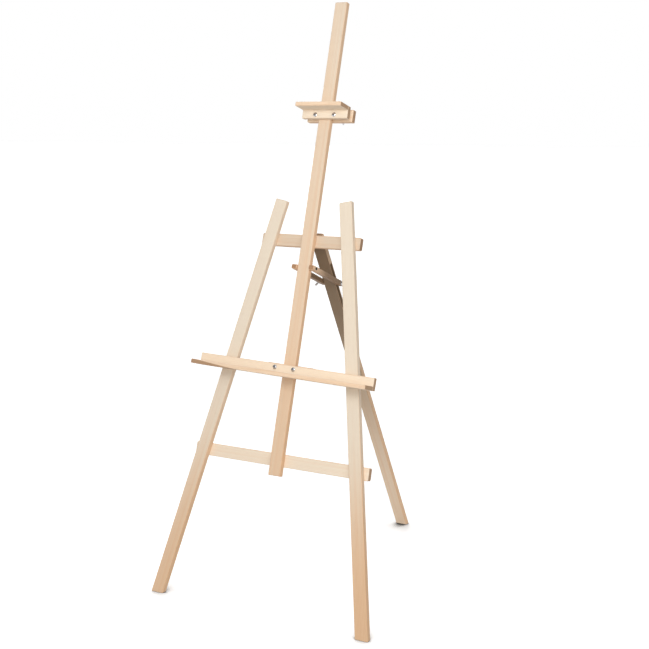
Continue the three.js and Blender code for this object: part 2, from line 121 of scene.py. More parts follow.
class EaselSizes(bpy.types.PropertyGroup):
    """Small sizes that the CAD model leaves plain."""

    wood_edge: FloatProperty(
        name="Wood Edge", description="Radius of the battens' edges",
        default=0.0018, min=0.0002, unit="LENGTH")
    strip_edge: FloatProperty(
        name="Strip Edge", description="Radius of a brace strip's edges",
        default=0.0012, min=0.0002, unit="LENGTH")
    strip_corner: FloatProperty(
        name="Strip Corner", description="Radius of a brace strip's corners, seen from the side",
        default=0.0045, min=0.001, unit="LENGTH")
    bar_corner: FloatProperty(
        name="Crossbar Corner", description="Radius of a crossbar's corners, seen from the front",
        default=0.0045, min=0.001, unit="LENGTH")
    slot_width: FloatProperty(
        name="Slot Width", description="Width of the rear leg's slot",
        default=0.0096, min=0.006, unit="LENGTH")
    slot_length: FloatProperty(
        name="Slot Length", description="Length of the rear leg's slot, round ends included",
        default=0.154, min=0.02, unit="LENGTH")
    slot_from_hinge: FloatProperty(
        name="Slot From Hinge", description="From the hinge pin down to the slot's upper end",
        default=0.098, min=0.02, unit="LENGTH")
    clamp_bolt: FloatProperty(
        name="Clamp Bolt", description="Radius of the tray's and the clamp's bolts",
        default=0.003, min=0.001, unit="LENGTH")
    brace_bolt: FloatProperty(
        name="Brace Bolt", description="Radius of the bolt in the rear leg's slot",
        default=0.0025, min=0.001, unit="LENGTH")
    thread_pitch: FloatProperty(
        name="Thread Pitch", description="Distance from one turn of a bolt's thread to the next",
        default=0.001, min=0.0003, unit="LENGTH")
    screw_head: FloatProperty(
        name="Screw Head", description="Radius of the heads of the screws in the wood",
        default=0.004, min=0.001, unit="LENGTH")
    hinge_screw_head: FloatProperty(
        name="Hinge Screw Head", description="Radius of the heads of the hinge's screws",
        default=0.003, min=0.001, unit="LENGTH")
    leaf_edge: FloatProperty(
        name="Leaf Edge", description="Radius of the edges of the hinge's leaves",
        default=0.0003, min=0.00005, unit="LENGTH")
    round_steps: IntProperty(
        name="Round Steps", description="Facets round a bolt, washer or nut",
        default=40, min=12)


class WoodFinish(bpy.types.PropertyGroup):
    """Colours and grain of the bare wood."""

    pale: FloatVectorProperty(
        name="Pale", description="Colour of the palest wood",
        default=(0.96, 0.835, 0.675), size=3, subtype="COLOR", min=0.0, max=1.0)
    warm: FloatVectorProperty(
        name="Warm", description="Colour of the warmest wood",
        default=(0.90, 0.585, 0.35), size=3, subtype="COLOR", min=0.0, max=1.0)
    # Colour of a brown band drawn diagonally across the tray ledge from its near end
    heart: FloatVectorProperty(
        name="Heartwood", description="Colour of a brown streak of heartwood",
        default=(0.36, 0.19, 0.09), size=3, subtype="COLOR", min=0.0, max=1.0)
    lightness: FloatProperty(
        name="Lightness", description="How light the battens are beside the boards",
        default=0.90, min=0.0, max=1.0, subtype="FACTOR")
    side_warmth: FloatProperty(
        name="Side Warmth", description="How much warmer a piece's narrow sides are than its face",
        default=0.30, min=0.0, max=1.0, subtype="FACTOR")
    # Painted shade: the colour that the wood's colour is multiplied by where shade is painted on it
    shade: FloatVectorProperty(
        name="Shade", description="What the colour is multiplied by where the wood is darkest",
        default=(0.24, 0.205, 0.165), size=3, subtype="COLOR", min=0.0, max=1.0)
    ring_spacing: FloatProperty(
        name="Ring Spacing", description="Distance from one year's ring to the next",
        default=0.0034, min=0.0005, unit="LENGTH")
    ring_strength: FloatProperty(
        name="Ring Strength", description="How much a ring darkens the wood",
        default=0.30, min=0.0, max=1.0, subtype="FACTOR")
    end_darkening: FloatProperty(
        name="End Darkening", description="How much darker the sawn ends are",
        default=0.78, min=0.0, max=1.0, subtype="FACTOR")
    roughness: FloatProperty(
        name="Roughness", description="Roughness of sanded wood",
        default=0.56, min=0.0, max=1.0, subtype="FACTOR")


class SteelFinish(bpy.types.PropertyGroup):
    """Colour and polish of the zinc-plated steel."""

    zinc: FloatVectorProperty(
        name="Zinc", description="Colour of the plating",
        default=(0.62, 0.62, 0.64), size=3, subtype="COLOR", min=0.0, max=1.0)
    dull: FloatVectorProperty(
        name="Dull Zinc", description="Colour of the plating where it has dulled",
        default=(0.34, 0.33, 0.33), size=3, subtype="COLOR", min=0.0, max=1.0)
    # Painted reflection: the pivot screws are zinc, coloured almost without light in place of the deep
    # surroundings that they reflect
    black: FloatVectorProperty(
        name="Black", description="Colour of the two blackened pivot screws",
        default=(0.045, 0.040, 0.035), size=3, subtype="COLOR", min=0.0, max=1.0)
    roughness: FloatProperty(
        name="Roughness", description="Roughness of the plating",
        default=0.16, min=0.0, max=1.0, subtype="FACTOR")


class StudioSettings(bpy.types.PropertyGroup):
    """Camera, floor and lights."""

    camera_place: FloatVectorProperty(
        name="Camera Place", description="Where the camera stands",
        default=(1.7430, -3.0594, 1.3164), size=3, subtype="XYZ", unit="LENGTH")
    camera_turn: FloatProperty(
        name="Camera Turn", description="Turn of the camera to the left of straight ahead",
        default=0.52826, subtype="ANGLE")
    camera_drop: FloatProperty(
        name="Camera Drop", description="How far below the horizon the camera looks",
        default=0.16384, subtype="ANGLE")
    lens: FloatProperty(
        name="Lens", description="Focal length in millimetres on a 36 mm sensor",
        default=67.595, min=10.0)
    floor_colour: FloatVectorProperty(
        name="Floor", description="Colour of the floor",
        default=(0.95, 0.95, 0.95), size=3, subtype="COLOR", min=0.0, max=1.0)
    floor_glow: FloatProperty(
        name="Floor Glow", description="How strongly the floor is lit from below",
        default=0.46, min=0.0)
    contact_shadow: FloatProperty(
        name="Contact Shadow", description="How far out from a foot the floor darkens",
        default=0.09, min=0.0, unit="LENGTH")
    key_power: FloatProperty(
        name="Key Light", description="Power in watts of the square lamp at the front, on the right",
        default=13.0, min=0.0)
    front_strength: FloatProperty(
        name="Front Light", description="Strength of the even light from the right in front",
        default=1.45, min=0.0)
    top_strength: FloatProperty(
        name="Top Light", description="Strength of the soft light from above",
        default=0.55, min=0.0)
    back_strength: FloatProperty(
        name="Back Light", description="Strength of the even light from the left behind",
        default=1.9, min=0.0)
    light_from_above: FloatProperty(
        name="Light From Above", description="Strength of the room's own light from above",
        default=0.26, min=0.0)
    light_from_below: FloatProperty(
        name="Light From Below", description="Strength of the room's own light from below",
        default=0.50, min=0.0)


class PaintedShade(NamedTuple):
    """Painted shade, for the shade that falls towards a piece's far end: by what share, the levels where
    it starts and is full, and the direction of the face that it is strongest on, if there is one. A level
    is a share of the length from the near end, which is the foot, the left end or a strip's pivot."""

    share: float
    start: float
    full: float
    face: np.ndarray = None


class Tone(NamedTuple):
    """A piece's wood: its warmth at the far and the near end, 0 for pale to 1 for warm; its lightness,
    if not the battens'; the share of its length that a brown band takes; and its painted shade."""

    far: float
    near: float
    lightness: float = None
    heartwood: float = None
    shading: PaintedShade = None


TONES = {
    "left_leg": Tone(0.02, 0.85),
    "right_leg": Tone(0.0, 0.90),
    "mast": Tone(0.38, 0.62),
    "upper_crossbar": Tone(0.44, 0.44, 0.80),
    "lower_crossbar": Tone(0.26, 0.26, 0.98),
    # The rear leg's front face, high up, and the brace strips towards their bolt get painted shade where
    # they lie in shade
    "rear_leg": Tone(0.35, 0.50, 1.0, shading=PaintedShade(1.0, 0.16, 0.84, -REAR_BACK)),
    "left_brace_strip": Tone(0.60, 0.60, shading=PaintedShade(0.85, 0.0, 0.5)),
    "right_brace_strip": Tone(0.60, 0.60, shading=PaintedShade(0.85, 0.0, 0.5)),
    "tray_board": Tone(0.24, 0.24, 1.0),
    "tray_ledge": Tone(0.22, 0.22, 1.0, heartwood=0.26),
    "tray_back_bar": Tone(0.45, 0.45),
    "clamp_board": Tone(0.12, 0.12, 1.0),
    "clamp_lip": Tone(0.30, 0.30, 1.0),
    "clamp_back_bar": Tone(0.40, 0.40, 1.0),
}

# What the wood's colour is multiplied by in its marks
RING_TINT = (0.80, 0.62, 0.42)
FIBRE_TINT = (0.70, 0.52, 0.36)
END_TINT = (0.42, 0.27, 0.16)
WORN_TINT = (0.78, 0.66, 0.52)

# Where each soft light comes from, and over how many degrees its source spreads
SOFT_LIGHTS = {
    "front": ((0.55, -0.76, 0.08), 50),
    "back": ((-0.62, 0.70, 0.30), 50),
    "top": ((0.1, -0.3, 0.95), 80),
}

SHARP_ANGLE = math.radians(35)      # faces that meet at more than this keep a sharp edge


# ---- Surfaces worked out as whole arrays ----


def grid_quads(rows, columns, start=0):
    """Faces of a grid whose columns close on themselves: each joins a point, the next one round, and
    the two that lie one row on."""
    row, column = np.meshgrid(np.arange(rows - 1), np.arange(columns), indexing="ij")
    after = (column + 1) % columns
    corners = [row * columns + column, row * columns + after,
               (row + 1) * columns + after, (row + 1) * columns + column]
    return (np.stack(corners, axis=-1).reshape(-1, 4) + start).tolist()


def rounded_rectangle(half_a, half_b, radius, steps=5):
    """Outline and its outward normals. Each quarter is an arc of the radius about a corner's centre,
    so a point is the centre plus the radius times (cosine, sine) of its angle."""
    angle = np.linspace(0, math.pi / 2, steps + 1)[None, :] + (math.pi / 2) * np.arange(4)[:, None]
    normals = np.stack([np.cos(angle), np.sin(angle)], axis=-1)
    signs = np.array([[1, 1], [-1, 1], [-1, -1], [1, -1]])[:, None, :]
    centres = signs * np.array([half_a - radius, half_b - radius])
    return (centres + radius * normals).reshape(-1, 2), normals.reshape(-1, 2)


def teardrop(root, root_radius, tip, tip_radius, steps=28):
    """Outline and normals round two circles of unlike size: a normal at an angle from the line of the
    centres belongs to the tip's circle while its cosine is above the ratio of the difference of the
    radii to the distance, and to the root's circle past it."""
    root, tip = np.array(root, float), np.array(tip, float)
    line = tip - root
    distance = np.linalg.norm(line)
    edge = math.acos((root_radius - tip_radius) / distance)
    turn = np.concatenate([np.linspace(-edge, edge, steps), np.linspace(edge, 2 * math.pi - edge, steps)])
    on_tip = (np.arange(2 * steps) < steps)[:, None]
    heading = turn + math.atan2(line[1], line[0])
    normals = np.stack([np.cos(heading), np.sin(heading)], axis=-1)
    points = np.where(on_tip, tip + tip_radius * normals, root + root_radius * normals)
    return points, normals


def slab(outline, half_depth, rim, hole=None, steps=4):
    """A flat body with rounded rims. A point is the outline's, moved inwards along its normal by
    rim * (1 - sine) while the depth goes from the face by rim * (1 - cosine); a hole's rim opens the
    same way. Returns points as (outline a, outline b, depth), and faces."""
    turn = np.linspace(0, math.pi / 2, steps + 1)
    inset = rim * (1 - np.sin(turn))
    depth = -(half_depth - rim) - rim * np.cos(turn)
    inset = np.concatenate([inset, inset[::-1]])
    depth = np.concatenate([depth, -depth[::-1]])
    rows, columns = len(depth), len(outline[0])

    def wall(loop, inwards):
        flat = loop[0][None] - inwards * inset[:, None, None] * loop[1][None]
        deep = np.broadcast_to(depth[:, None, None], (*flat.shape[:2], 1))
        return np.concatenate([flat, deep], axis=-1).reshape(-1, 3)

    points = wall(outline, 1)
    faces = grid_quads(rows, columns)
    last = (rows - 1) * columns
    if hole is None:
        return points, faces + [list(range(columns)), list(range(last, last + columns))]
    start = len(points)
    points = np.concatenate([points, wall(hole, -1)])
    faces += grid_quads(rows, columns, start)
    for ring in (0, last):
        here = np.arange(columns)
        after = (here + 1) % columns
        quads = np.stack([ring + here, ring + after, start + ring + after, start + ring + here], axis=-1)
        faces += quads.tolist()
    return points, faces


def turned(profile, steps, waves=None):
    """A body turned round an axis: a point is (height, radius * cosine, radius * sine). The profile is
    rows of (radius, height), from the axis to the axis or back to its start; waves adds to the radius
    what depends on the angle too."""
    profile = np.array(profile, float)
    angle = np.arange(steps) * (2 * math.pi / steps)
    radius = np.repeat(profile[:, :1], steps, axis=1)
    if waves is not None:
        radius = radius + waves(profile[:, 1:], angle[None, :])
    height = np.repeat(profile[:, 1:], steps, axis=1)
    points = np.stack([height, radius * np.cos(angle), radius * np.sin(angle)], axis=-1)
    return points.reshape(-1, 3), grid_quads(len(profile), steps)


def placed(points, origin, axes):
    """Points in a piece's own axes, put in the easel's: the origin plus each number times its axis."""
    return np.array(origin) + np.array(points) @ np.array(axes)


def joined(*parts):
    """Several bodies in one mesh."""
    points, faces, start = [], [], 0
    for part_points, part_faces in parts:
        points.append(part_points)
        faces += [[start + corner for corner in face] for face in part_faces]
        start += len(part_points)
    return np.concatenate(points), faces


def slot_of(node):
    """The record's material slot of a CAD node."""
    return next(s["material_slot"] for s in frame["record"]["subparts"] if s["node"] == node)


def make_piece(node, shape, material):
    """Puts a surface in the scene in place of a CAD node: doubled points merged, faces turned outwards
    and smooth, riding on the node's body."""
    mesh = bpy.data.meshes.new(f"{node}_fine")
    mesh.from_pydata(shape[0].tolist(), [], shape[1])
    tidy = bmesh.new()
    tidy.from_mesh(mesh)
    bmesh.ops.remove_doubles(tidy, verts=tidy.verts, dist=1e-6)
    bmesh.ops.recalc_face_normals(tidy, faces=tidy.faces)
    tidy.to_mesh(mesh)
    tidy.free()
    mesh.shade_smooth()
    mesh.set_sharp_from_angle(angle=SHARP_ANGLE)
    mesh.materials.append(material)
    piece = bpy.data.objects.new(f"{node}_fine", mesh)
    bpy.context.scene.collection.objects.link(piece)
    cad = frame["nodes"][node]
    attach(piece, cad["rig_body"])
    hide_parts(node)
    slot_of(node)
    return piece


# ---- Wooden pieces as measured on the CAD model ----


class Beam:
    """A straight wooden piece: its centre, and its directions and sizes (length, width, thickness)."""

    def __init__(self, node, along, across):
        self.node = node
        self.axes = np.array([along, across, np.cross(along, across)])
        local = node_points(node) @ self.axes.T
        low, high = local.min(axis=0), local.max(axis=0)
        self.size = high - low
        self.centre = ((low + high) / 2) @ self.axes

    def body(self, edge, corner=None, through=2, hole=None):
        """Its surface: an outline rounded at the corners, with rounded rims. through is the direction
        that the outline is carried along, 1 for the width and 2 for the thickness."""
        other = 3 - through
        outline = rounded_rectangle(self.size[0] / 2, self.size[other] / 2, corner or edge)
        points, faces = slab(outline, self.size[through] / 2, edge, hole)
        return placed(points, self.centre, self.axes[[0, other, through]]), faces


def level_foot(beam, shape):
    """The foot's end slid along the leg until its sole is level with the floor: a point near the end
    goes to where its line along the leg meets the floor, then back up by its height in the end."""
    points, faces = shape
    along = beam.axes[0]
    height = (points - beam.centre) @ along + beam.size[0] / 2
    at_foot = height < 0.1 * beam.size[0]
    to_floor = -points[:, 2] / along[2]
    return points + np.where(at_foot, to_floor + height, 0)[:, None] * along, faces


def make_wooden(beam, shape):
    """Puts a wooden piece in the scene, its faces shaded as flat right up to their rounded edges."""
    piece = make_piece(beam.node, shape, wood_finish(beam))
    piece.modifiers.new("even_shading", "WEIGHTED_NORMAL").keep_sharp = True


class Fastener:
    """A round piece on an axis: where it starts, its length, and two directions square to the axis."""

    def __init__(self, node, direction):
        self.node = node
        direction = unit(direction)
        points = node_points(node)
        spread = points - np.outer(points @ direction, direction)
        centre = (spread.max(axis=0) + spread.min(axis=0)) / 2
        centred = spread - centre
        wide = np.linalg.eigh(centred.T @ centred)[1][:, -1]
        side = np.cross(direction, wide)
        self.axes = np.array([direction, wide, side])
        local = points @ self.axes.T
        low, high = local.min(axis=0), local.max(axis=0)
        self.length = high[0] - low[0]
        self.radius = (high[1] - low[1]) / 2
        self.start = np.array([low[0], (low[1] + high[1]) / 2, (low[2] + high[2]) / 2]) @ self.axes

    def put(self, shape):
        """A turned shape, put on the fastener's axis."""
        return placed(shape[0], self.start, self.axes), shape[1]


def make_fasteners(rows, shape, material=None):
    """Puts round pieces in the scene, from rows of a name, a direction and what their shape needs."""
    for node, direction, *sizes in rows:
        make_piece(node, shape(Fastener(node, direction), *sizes), material or shared_steel())


# ---- Materials ----


class Wire:
    """A number on its way through a shader; sums written on it add Math nodes."""

    def __init__(self, recipe, socket):
        self.recipe = recipe
        self.socket = socket

    def _math(self, operation, *values):
        sockets = dict(enumerate(values))
        return self.recipe.node("ShaderNodeMath", {"operation": operation}, sockets)

    def __add__(self, other):
        return self._math("ADD", self, other)

    def __sub__(self, other):
        return self._math("SUBTRACT", self, other)

    def __rsub__(self, other):
        return self._math("SUBTRACT", other, self)

    def __mul__(self, other):
        return self._math("MULTIPLY", self, other)

    def __truediv__(self, other):
        return self._math("DIVIDE", self, other)

    def __pow__(self, other):
        return self._math("POWER", self, other)

    def __abs__(self):
        return self._math("ABSOLUTE", self)

    __radd__ = __add__
    __rmul__ = __mul__

    def root(self):
        """Its square root."""
        return self._math("SQRT", self)

    def cosine(self):
        """Its cosine."""
        return self._math("COSINE", self)

    def step(self, low, high):
        """0 below low, 1 above high, and smooth between them."""
        settings = {"interpolation_type": "SMOOTHSTEP"}
        return self.recipe.node("ShaderNodeMapRange", settings, {"Value": self, 1: low, 2: high})


class Recipe:
    """The shader of one material, with its Principled shader and the coordinates of its piece."""

    def __init__(self, name):
        self.material = bpy.data.materials.new(name)
        self.material.use_nodes = True
        self.tree = self.material.node_tree
        self.shader = self.tree.nodes["Principled BSDF"]
        self.coordinates = self.tree.nodes.new("ShaderNodeTexCoord")

    def node(self, kind, settings, sockets, output=0):
        """Adds a node of a kind, makes its settings, then fills its sockets with values or wires."""
        node = self.tree.nodes.new(kind)
        for name, value in settings.items():
            setattr(node, name, value)
        for name, value in sockets.items():
            self.fill(node.inputs[name], value)
        return Wire(self, node.outputs[output])

    def fill(self, socket, value):
        """Links a wire to a socket, or sets the socket's own value."""
        if isinstance(value, Wire):
            self.tree.links.new(value.socket, socket)
        else:
            socket.default_value = value

    def finish(self, sockets):
        """Fills the Principled shader's sockets."""
        for name, value in sockets.items():
            self.fill(self.shader.inputs[name], value)
        return self.material

    def own_place(self, centre=(0, 0, 0), axes=None):
        """The place on the piece, from a centre and along three directions."""
        turn = (0, 0, 0) if axes is None else Matrix(np.array(axes).T.tolist()).to_euler()
        source = Wire(self, self.coordinates.outputs["Object"])
        sockets = {"Vector": source, "Location": centre, "Rotation": turn}
        return self.node("ShaderNodeMapping", {"vector_type": "TEXTURE"}, sockets)

    def toward(self, direction):
        """How squarely the surface faces one way, -1 to 1."""
        normal = Wire(self, self.coordinates.outputs["Normal"])
        settings = {"operation": "DOT_PRODUCT"}
        return self.node("ShaderNodeVectorMath", settings, {0: normal, 1: tuple(direction)}, "Value")

    def facing(self, direction):
        """How squarely the surface lies across a direction, 0 to 1."""
        return abs(self.toward(direction))

    def split(self, vector):
        """The three numbers of a vector."""
        node = self.tree.nodes.new("ShaderNodeSeparateXYZ")
        self.tree.links.new(vector.socket, node.inputs[0])
        return [Wire(self, output) for output in node.outputs]

    def noise(self, place, stretch, detail=2.0):
        """Noise about 0. Its stretch is how many times a metre it changes in each direction."""
        settings = {"operation": "MULTIPLY"}
        scaled = self.node("ShaderNodeVectorMath", settings, {0: place, 1: stretch})
        sockets = {"Vector": scaled, "Scale": 1.0, "Detail": detail}
        return self.node("ShaderNodeTexNoise", {"normalize": True}, sockets) - 0.5

    def mix(self, share, first, second, blend="MIX"):
        """A colour between two others."""
        settings = {"data_type": "RGBA", "blend_type": blend}
        sockets = {0: share, 6: colour(first), 7: colour(second)}
        return self.node("ShaderNodeMix", settings, sockets, output=2)

    def tint(self, share, base, tone):
        """A colour multiplied by another, to a share."""
        return self.mix(share, base, tone, "MULTIPLY")

    def bump(self, height, distance):
        """A normal from a height, which is a share of the distance."""
        return self.node("ShaderNodeBump", {}, {"Height": height, "Distance": distance})


def colour(value):
    """A colour socket's value: a wire as it is, three numbers with a full alpha."""
    return value if isinstance(value, Wire) else (*tuple(value)[:3], 1.0)


def wood_finish(beam):
    """Bare sanded wood, sawn from a log whose pith runs beside the piece. A ring is where the distance
    from the pith, r = sqrt(a^2 + b^2), makes cos(2 pi r / spacing) 1, so that rings make long lines on
    the faces and arcs on the ends."""
    look, tone = bpy.context.scene.easel_wood, TONES[beam.node]
    length, width, thickness = (float(size) for size in beam.size)
    seed = zlib.crc32(beam.node.encode()) % 1000 / 1000
    recipe = Recipe(f"wood_{beam.node}")
    place = recipe.own_place(beam.centre, beam.axes)
    x, y, z = recipe.split(place)
    shift = (31 * seed, seed, 0)        # so that no two pieces match
    shifted = recipe.node("ShaderNodeVectorMath", {"operation": "ADD"}, {0: place, 1: shift})

    wander = recipe.noise(shifted, (1.6, 9.0, 9.0), detail=1.0)
    ripple = recipe.noise(shifted, (9.0, 60.0, 60.0))
    pith_y, pith_z = 0.035 + 0.05 * seed, -0.022
    drift = 0.02 - 0.04 * ((seed * 13) % 1)
    from_pith_y = y - pith_y + x * drift + wander * 0.030 + ripple * 0.0018
    from_pith_z = z - pith_z
    radius = (from_pith_y ** 2 + from_pith_z ** 2).root()
    ring = (radius * (2 * math.pi / look.ring_spacing)).cosine() * 0.5 + 0.5
    patchy = recipe.noise(shifted, (2.5, 40.0, 40.0)).step(-0.25, 0.25)
    ring_share = (ring ** 3) * (patchy * 0.75 + 0.25)

    fibre = recipe.noise(shifted, (14.0, 1300.0, 1300.0), detail=3.0)
    streak = recipe.noise(shifted, (1.3, 130.0, 130.0), detail=3.0)
    fleck = recipe.noise(shifted, (55.0, 1500.0, 1500.0), detail=1.0).step(0.13, 0.24)

    end = recipe.facing(beam.axes[0]).step(0.55, 0.85)
    level = x / length + 0.5        # 0 at the near end, 1 at the far end
    warmth = tone.near + level.step(0.0, 0.65) * (tone.far - tone.near) + streak * 0.55
    on_side = recipe.facing(beam.axes[1])
    warmth = warmth + wander * 0.35 + on_side * look.side_warmth

    lightness = tone.lightness or look.lightness
    pale = tuple(np.array(look.pale) * lightness)
    warm = tuple(np.array(look.warm) * lightness)
    wood = recipe.mix(warmth.step(0.0, 1.0), pale, warm)
    wood = recipe.tint(ring_share * (look.ring_strength + end * 0.3), wood, RING_TINT)
    wood = recipe.tint((fibre + fleck * 0.5).step(-0.1, 0.75) * 0.28, wood, FIBRE_TINT)
    # A brown band drawn diagonally across the piece from its near end
    if tone.heartwood:
        slope = thickness / (tone.heartwood * length)
        below = (-length / 2 - x) * slope + thickness / 2 - z + ripple * 0.006
        wood = recipe.mix(below.step(-0.0012, 0.0016) * (0.82 + streak * 0.5), wood, look.heart)
    # Painted shade: the colour deepens towards the far end, most on the given face, where shade falls on
    # the piece
    if tone.shading:
        share, start, full, face = tone.shading
        painted_shade_share = level.step(start, full) * share
        if face is not None:
            painted_shade_share = painted_shade_share * (recipe.toward(face).step(0.0, 0.9) * 0.6 + 0.4)
        wood = recipe.tint(painted_shade_share, wood, look.shade)
    wood = recipe.tint(end * look.end_darkening, wood, END_TINT)

    to_edge = ((width / 2 - abs(y)) ** 2 + (thickness / 2 - abs(z)) ** 2).root()
    worn = 1 - to_edge.step(0.0006, 0.0030)
    wood = recipe.tint(worn * 0.22, wood, WORN_TINT)

    roughness = look.roughness + fibre * 0.16 + end * 0.18 - worn * 0.08
    height = fibre * 0.6 + ring_share * 0.5 - fleck * 0.8 + end * ring * 0.6
    return recipe.finish({"Base Color": wood, "Roughness": roughness,
                          "Normal": recipe.bump(height, 0.00022), "Specular IOR Level": 0.35})


def steel_finish(name, bright, dull, roughness):
    """Plated steel, or the pivot screws' zinc coloured almost without light as a painted reflection, with
    dull patches and the fine marks of handling.
    """
    recipe = Recipe(name)
    place = recipe.own_place()
    patches = recipe.noise(place, (230.0, 230.0, 230.0), detail=3.0)
    marks = recipe.noise(place, (2600.0, 2600.0, 2600.0))
    dulled = (patches + marks * 0.4).step(-0.12, 0.32)
    tone = recipe.mix(dulled * 0.6, bright, dull)
    return recipe.finish({"Base Color": tone, "Roughness": dulled * 0.22 + roughness, "Metallic": 1.0,
                          "Normal": recipe.bump(patches * 0.4 + marks * 0.25, 0.00008)})


def shared_steel():
    """The bright zinc plating that nearly all the steel has."""
    name, look = "zinc_plated_steel", bpy.context.scene.easel_steel
    return bpy.data.materials.get(name) or steel_finish(name, look.zinc, look.dull, look.roughness)


# ---- Turned profiles, all lengths in metres ----


def arc(radius, centre, start, stop, steps=5):
    """Points of an arc in a profile: the centre plus the radius times (cosine, sine)."""
    angle = np.radians(np.linspace(start, stop, steps + 1))
    return np.stack([centre[0] + radius * np.cos(angle), centre[1] + radius * np.sin(angle)], axis=-1)


def dome(radius, height, rim, steps=10):
    """Half an ellipse, from the axis to the edge: (radius * sine, -rim - (height - rim) * cosine)."""
    angle = np.linspace(0, math.pi / 2, steps + 1)
    return np.stack([radius * np.sin(angle), -rim - (height - rim) * np.cos(angle)], axis=-1)


def washer_shape(fastener, hole, steps):
    """A ring whose section is a rectangle with rounded corners."""
    half = fastener.length / 2
    middle, reach = (fastener.radius + hole) / 2, (fastener.radius - hole) / 2
    corner = min(0.0003, 0.8 * half)
    outline = rounded_rectangle(reach, half, corner, steps=3)[0]
    profile = np.concatenate([outline, outline[:1]]) + [middle, half]
    return fastener.put(turned(profile, steps))


def bolt_shape(fastener, radius, head_height, sizes):
    """A domed head, a plain shank, and a thread to the end: there the radius falls by a triangle wave
    of the height over the pitch less the share of a turn. Heights count from under the head."""
    pitch, depth, points_per_turn, plain_end = sizes.thread_pitch, 0.00055, 8, 0.0006
    rim, corner_radius, neck = 0.0007, 0.0003, 0.0002      # of the head's edge, and of the seat under it
    length = fastener.length - head_height
    threaded = min(0.028, 0.6 * length)
    turns = np.linspace(length - threaded, length - plain_end, int(points_per_turn * threaded / pitch))
    head = dome(fastener.radius, head_height, rim)
    corner = arc(corner_radius, (fastener.radius - corner_radius, -corner_radius), 0, 90, 3)
    seat = [[radius + neck, 0.0], [radius, neck]]
    shank = np.stack([np.full(len(turns), radius), turns], axis=-1)
    end = [[radius * 0.75, length], [0.0, length]]
    profile = np.concatenate([head, corner, seat, shank, end])

    def thread(height, angle):
        share = (height / pitch - angle / (2 * math.pi)) % 1
        on_thread = (height > length - threaded) & (height < length - plain_end / 2)
        return np.where(on_thread, -depth * np.abs(2 * share - 1), 0.0)

    profile[:, 1] += head_height
    shape = turned(profile, sizes.round_steps, lambda height, angle: thread(height - head_height, angle))
    return fastener.put(shape)


def cross_recess(radius, rows=15, steps=48, depth=0.0011, half_width=0.0005, reach=0.62):
    """A screw head's top, with the cross that a driver fits: the depth is full within half a width of
    either arm's middle line, and runs out at soft sides and ends. Reach is a share of the radius."""
    soft_side, soft_end = 0.0002, 0.0004
    distance = np.linspace(0, radius, rows)[:, None]
    angle = np.arange(steps)[None, :] * (2 * math.pi / steps)
    across, up = distance * np.cos(angle), distance * np.sin(angle)

    def arm(a, b):
        inside = np.clip((half_width - np.abs(a)) / soft_side + 0.5, 0, 1)
        return inside * np.clip((reach * radius - np.abs(b)) / soft_end, 0, 1)

    sunk = depth * np.maximum(arm(across, up), arm(up, across))
    points = np.stack([sunk, across, up], axis=-1).reshape(-1, 3)
    return points, grid_quads(rows, steps)


def screw_shape(fastener, head_radius, round_head=0.0):
    """A wood screw: its head's top with a cross recess, raised by round_head in the middle, then the
    cone or seat below it, and the shank to the point."""
    steps, cone_share, point = 48, 0.575, 0.003
    top, top_faces = cross_recess(head_radius, steps=steps)
    distance = np.hypot(top[:, 1], top[:, 2]) / head_radius
    top[:, 0] += round_head * (1 - np.sqrt(np.clip(1 - distance ** 2, 0, 1)))
    seat = round_head or cone_share * head_radius
    shank = head_radius / 2
    profile = [[head_radius, round_head], [shank, seat], [shank, fastener.length - point],
               [0.0, fastener.length]]
    return fastener.put(joined((top, top_faces), turned(profile, steps)))


def wing_nut_shape(fastener, bore, sizes):
    """A tapered hub with a bore, and two wings that stand out from it."""
    seat_radius, top_radius, height = 0.0068, 0.0050, 0.008
    seat_corner, top_corner, chamfer = 0.0006, 0.0008, 0.0004
    root, root_radius = (0.0046, 0.0042), 0.0025        # a place is a distance from the axis, a height
    tip, tip_radius = (0.0104, 0.0098), 0.0034
    wall, wing_rim = 0.0022, 0.0008
    profile = np.concatenate([
        [[bore, 0.0], [seat_radius - seat_corner, 0.0]],
        arc(seat_corner, (seat_radius - seat_corner, seat_corner), -60, 10, 3),
        arc(top_corner, (top_radius - top_corner, height - top_corner), 10, 90, 4),
        [[bore + chamfer, height], [bore, height - chamfer], [bore, 0.0]],
    ])
    hub = turned(profile, sizes.round_steps)
    wing, faces = slab(teardrop(root, root_radius, tip, tip_radius), wall / 2, wing_rim)
    turns = [[[0, side, 0], [1, 0, 0], [0, 0, 1]] for side in (1, -1)]
    wings = [(placed(wing, (0, 0, 0), turn), faces) for turn in turns]
    return fastener.put(joined(hub, *wings))


# ---- The operators: one for each piece or group of like pieces ----


# The holder and the side of each bolt
CLAMP_BOLTS = [(holder, side) for holder in ("tray", "clamp") for side in ("left", "right")]


class EASEL_OT_front_legs(bpy.types.Operator):
    """Make the two splayed front legs, their soles level with the floor"""

    bl_idname = "easel.front_legs"
    bl_label = "Front Legs"

    def execute(self, context):
        edge = context.scene.easel_sizes.wood_edge
        for node, side in (("left_leg", -1), ("right_leg", 1)):
            along = math.cos(SPLAY) * UP - side * math.sin(SPLAY) * X
            across = math.cos(SPLAY) * X + side * math.sin(SPLAY) * UP
            beam = Beam(node, along, across)
            make_wooden(beam, level_foot(beam, beam.body(edge)))
        return {"FINISHED"}


class EASEL_OT_mast(bpy.types.Operator):
    """Make the mast that carries the canvas"""

    bl_idname = "easel.mast"
    bl_label = "Mast"

    def execute(self, context):
        beam = Beam("mast", UP, X)
        make_wooden(beam, beam.body(context.scene.easel_sizes.wood_edge))
        return {"FINISHED"}


